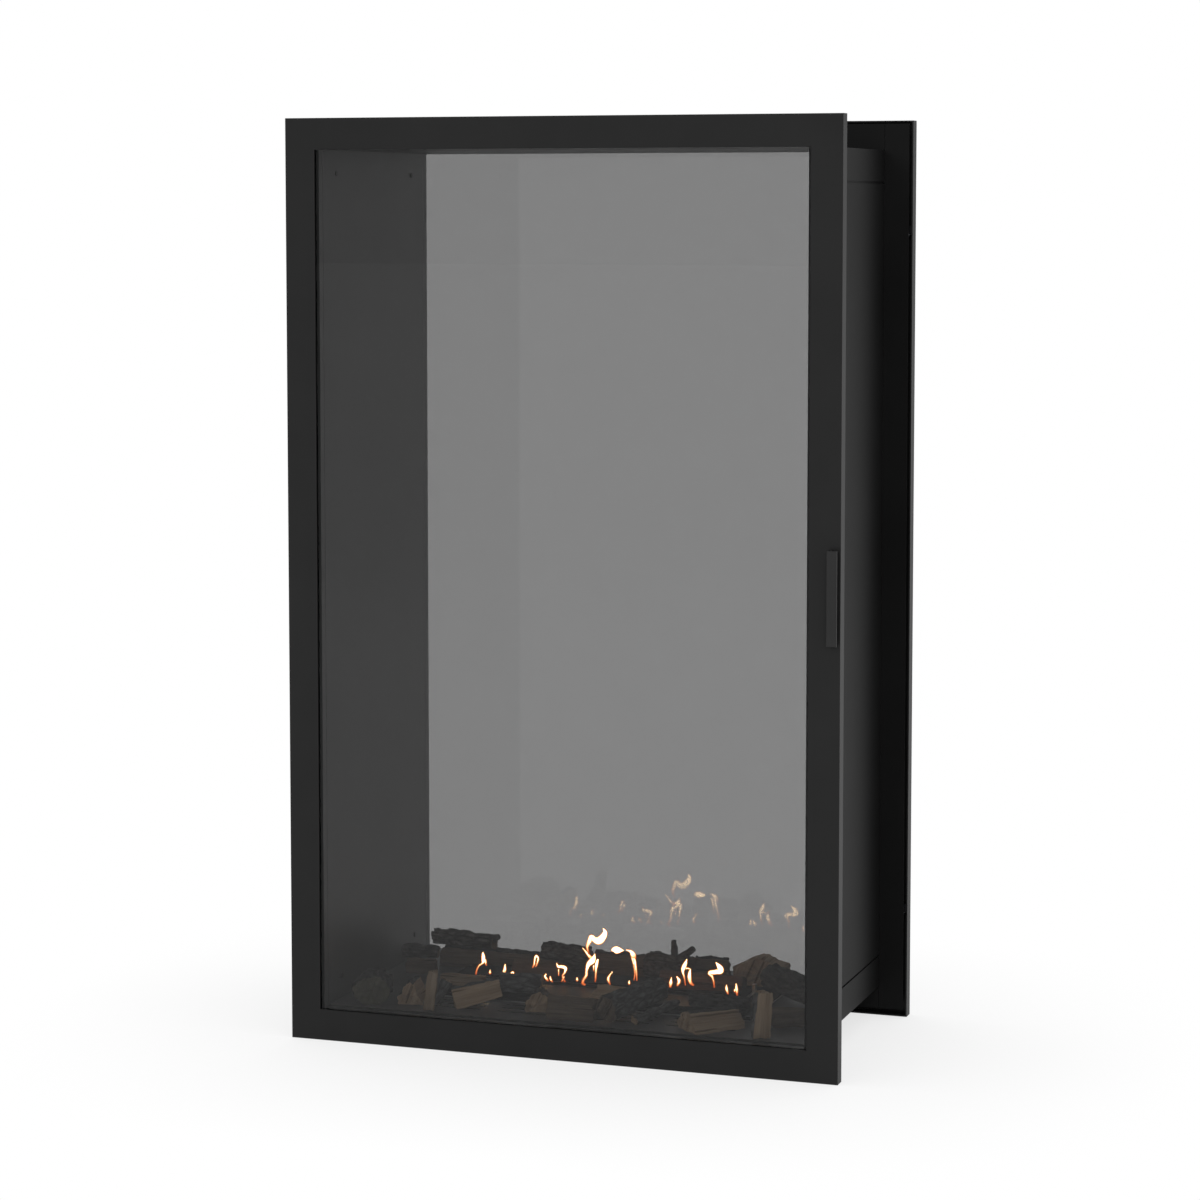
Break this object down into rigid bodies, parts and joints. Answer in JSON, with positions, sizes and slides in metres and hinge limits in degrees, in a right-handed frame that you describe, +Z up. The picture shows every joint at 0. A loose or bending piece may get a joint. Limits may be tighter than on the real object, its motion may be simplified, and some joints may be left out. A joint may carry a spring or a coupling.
{
  "type": "double-sided ethanol fireplace",
  "caption": "Upright see-through ethanol fireplace: steel casing set in a wall, a framed glass door hinged on each face, and a floor burner with a sliding damper among ceramic logs.",
  "frame": {"origin": "centre of the four floor screws, on the plane that the base rails stand on", "axes": "+X to the right seen from the front, +Y from the front door to the rear door, +Z up"},
  "size_m": [0.8, 0.442, 1.3],
  "materials": {
    "black_steel": "satin powder coat",
    "zinc_steel": "zinc plated",
    "dark_fixings": "black oxide",
    "insulation": "matt fibre board",
    "magnet": "sintered ferrite",
    "stainless": "brushed",
    "wool": "ceramic fibre",
    "gasket": "woven glass-fibre tape",
    "glass": "grey tinted, polished",
    "ceramic_log": "matt, painted as bark and split wood"
  },
  "bodies": {
    "casing": {"base_rails": "zinc_steel", "burner_cover": "black_steel", "burner_screws": "dark_fixings", "burner_tank": "stainless", "burner_wool": "wool", "casing_floor": "black_steel", "casing_side_left": "black_steel", "casing_side_right": "black_steel", "casing_top": "black_steel", "damper_runners": "zinc_steel", "door_magnets": "magnet", "hinge_pins": "zinc_steel", "hinge_tabs": "black_steel", "hinge_washers": "zinc_steel", "insulation_boards": "insulation", "kindling": "ceramic_log", "liner_left": "black_steel", "liner_right": "black_steel", "liner_screws": "dark_fixings", "log_back_bark": "ceramic_log", "log_back_brown": "ceramic_log", "log_back_split": "ceramic_log", "log_bark_strip": "ceramic_log", "log_big_diagonal": "ceramic_log", "log_brown_low": "ceramic_log", "log_brown_mid": "ceramic_log", "log_dark_right": "ceramic_log", "log_diagonal": "ceramic_log", "log_flaky_bark": "ceramic_log", "log_grey_bark": "ceramic_log", "log_knots": "ceramic_log", "log_low_brown": "ceramic_log", "log_plank": "ceramic_log", "log_red_brown": "ceramic_log", "log_roof": "ceramic_log", "log_round_left": "ceramic_log", "log_split_left": "ceramic_log", "log_tan_block": "ceramic_log", "log_tan_end": "ceramic_log", "log_upright_left": "ceramic_log", "log_upright_right": "ceramic_log"},
    "front_door": {"front_door_frame": "black_steel", "front_door_glass": "glass", "front_door_handle": "black_steel", "front_glass_gasket": "gasket", "front_glass_retainer": "black_steel", "front_handle_screws": "dark_fixings", "front_pivot_blocks": "zinc_steel", "front_retainer_nuts": "zinc_steel", "front_strike_plates": "zinc_steel"},
    "rear_door": {"rear_door_frame": "black_steel", "rear_door_glass": "glass", "rear_door_handle": "black_steel", "rear_glass_gasket": "gasket", "rear_glass_retainer": "black_steel", "rear_handle_screws": "dark_fixings", "rear_pivot_blocks": "zinc_steel", "rear_retainer_nuts": "zinc_steel", "rear_strike_plates": "zinc_steel"},
    "damper": {"damper": "stainless"}
  },
  "joints": [
    {"name": "front_door_hinge", "type": "hinge", "parent": "casing", "child": "front_door", "pos_m": [-0.39, -0.198, 0], "axis": [0, 0, -1], "range_deg": [0, 95]},
    {"name": "rear_door_hinge", "type": "hinge", "parent": "casing", "child": "rear_door", "pos_m": [0.39, 0.198, 0], "axis": [0, 0, -1], "range_deg": [0, 95]},
    {"name": "damper_slide", "type": "slide", "parent": "casing", "child": "damper", "axis": [0, -1, 0], "range_m": [0, 0.044]}
  ]
}
